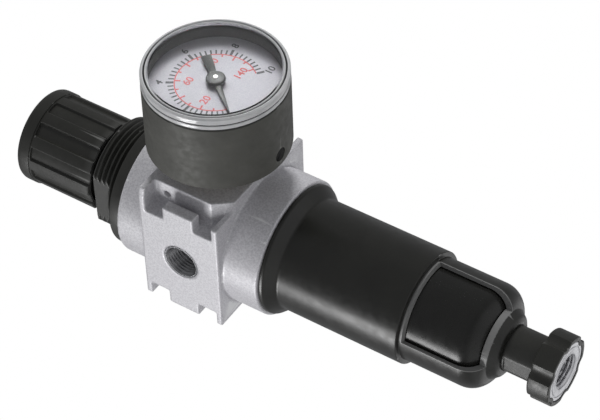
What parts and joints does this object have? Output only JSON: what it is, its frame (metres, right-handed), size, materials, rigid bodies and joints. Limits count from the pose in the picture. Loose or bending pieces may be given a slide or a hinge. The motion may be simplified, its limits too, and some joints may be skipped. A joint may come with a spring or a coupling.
{
  "type": "air pressure regulator",
  "caption": "Compact G1/8 filter regulator with push-lock knob, dial gauge, guarded bowl and manual drain.",
  "frame": {"origin": "on the main axis, on the bonnet collar face that seats against a panel", "axes": "+Z along the main axis towards the knob; -Y out through the gauge dial; -X out of the inlet port; +X out of the outlet port"},
  "size_m": [0.0402, 0.0712, 0.1614],
  "materials": {
    "body_cast": "powder-coated die-cast zinc, light grey, fine speckle, satin",
    "bonnet_black": "moulded black resin, satin",
    "knob_black": "moulded black resin, fine grain",
    "zinc_steel": "zinc-plated steel",
    "spring_steel": "oiled spring steel",
    "rubber": "matt nitrile rubber",
    "brass": "turned brass",
    "guide_white": "moulded resin",
    "filter_white": "sintered porous resin",
    "dark_resin": "moulded resin",
    "bowl_gloss": "glossy dark smoked polycarbonate",
    "guard_gloss": "glossy black moulded resin",
    "gauge_case": "dark grey satin ABS",
    "lens_clear": "clear polycarbonate",
    "dial_white": "printed white dial",
    "pointer_black": "black painted aluminium",
    "insert_metal": "turned, bright"
  },
  "bodies": {
    "root": {"body": "body_cast", "bonnet": "bonnet_black", "valve_seat": "brass", "valve_guide": "guide_white", "baffle": "dark_resin", "filter_element": "filter_white", "filter_retainer": "dark_resin", "filter_stud": "zinc_steel", "filter_nut": "zinc_steel", "gauge_seal": "rubber", "gauge_socket": "brass", "gauge_case": "gauge_case", "gauge_vent_plug": "rubber", "movement_plates": "brass", "movement_pillars": "brass", "gauge_dial": "dial_white", "gauge_lens": "lens_clear"},
    "adjuster": {"adjusting_screw": "zinc_steel"},
    "knob_body": {"knob": "knob_black"},
    "spring_nut": {"spring_seat_nut": "zinc_steel", "control_spring": "spring_steel"},
    "diaphragm_set": {"diaphragm": "rubber", "diaphragm_plate": "brass", "diaphragm_hub": "brass"},
    "valve_set": {"valve_pin": "zinc_steel", "valve_plug": "brass", "valve_seal": "rubber", "valve_spring": "spring_steel"},
    "sector_set": {"sector_gear": "brass", "sector_arbor": "zinc_steel"},
    "pointer_set": {"pointer_arbor": "zinc_steel", "gauge_pointer": "pointer_black"},
    "tube_link": {"link": "zinc_steel", "bourdon_tube": "brass"},
    "bowl_seal_body": {"bowl_seal": "rubber"},
    "bowl": {"inner_bowl": "bowl_gloss", "bowl_guard": "guard_gloss", "drain_neck": "bonnet_black", "drain_locknut": "zinc_steel"},
    "drain_stem": {"drain_pin": "zinc_steel", "drain_seal": "rubber"},
    "drain_grip": {"drain_knob": "knob_black", "drain_insert": "insert_metal"}
  },
  "joints": [
    {"name": "screw_turn", "type": "hinge", "parent": "root", "child": "adjuster", "pos_m": [0, 0, 0.019], "axis": [0, 0, -1], "range_deg": [0, 1440]},
    {"name": "knob_push", "type": "slide", "parent": "adjuster", "child": "knob_body", "axis": [0, 0, 1], "range_m": [-0.002, 0]},
    {"name": "nut_slide", "type": "slide", "parent": "root", "child": "spring_nut", "axis": [0, 0, -1], "range_m": [0, 0.006], "deforming": ["control_spring"]},
    {"name": "diaphragm_slide", "type": "slide", "parent": "root", "child": "diaphragm_set", "axis": [0, 0, -1], "range_m": [0, 0.001], "deforming": ["diaphragm"]},
    {"name": "valve_slide", "type": "slide", "parent": "root", "child": "valve_set", "axis": [0, 0, -1], "range_m": [0, 0.001], "deforming": ["valve_spring"]},
    {"name": "sector_turn", "type": "hinge", "parent": "root", "child": "sector_set", "pos_m": [0, -0.039, -0.03482], "axis": [0, -1, 0], "range_deg": [0, 30]},
    {"name": "pointer_turn", "type": "hinge", "parent": "root", "child": "pointer_set", "pos_m": [0, -0.0475, -0.0248], "axis": [0, 1, 0], "range_deg": [0, 270]},
    {"name": "link_slide", "type": "slide", "parent": "root", "child": "tube_link", "axis": [0, 0, 1], "range_m": [0, 0.00145], "deforming": ["bourdon_tube"]},
    {"name": "bowl_drop", "type": "slide", "parent": "root", "child": "bowl_seal_body", "axis": [0, 0, -1], "range_m": [0, 0.006]},
    {"name": "bowl_turn", "type": "hinge", "parent": "bowl_seal_body", "child": "bowl", "pos_m": [0, 0, -0.0475], "axis": [0, 0, -1], "range_deg": [0, 1440]},
    {"name": "drain_drop", "type": "slide", "parent": "bowl", "child": "drain_stem", "axis": [0, 0, -1], "range_m": [0, 0.00125]},
    {"name": "drain_turn", "type": "hinge", "parent": "drain_stem", "child": "drain_grip", "pos_m": [0, 0, -0.121], "axis": [0, 0, -1], "range_deg": [0, 360]}
  ],
  "couplings": [
    {"joint": "screw_turn", "follows": "nut_slide", "rad_per_m": 4188.8},
    {"joint": "valve_slide", "follows": "diaphragm_slide", "ratio": 1},
    {"joint": "sector_turn", "follows": "link_slide", "rad_per_m": 361.29},
    {"joint": "pointer_turn", "follows": "link_slide", "rad_per_m": 3251.6},
    {"joint": "bowl_turn", "follows": "bowl_drop", "rad_per_m": 4188.8},
    {"joint": "drain_turn", "follows": "drain_drop", "rad_per_m": 5026.5}
  ]
}
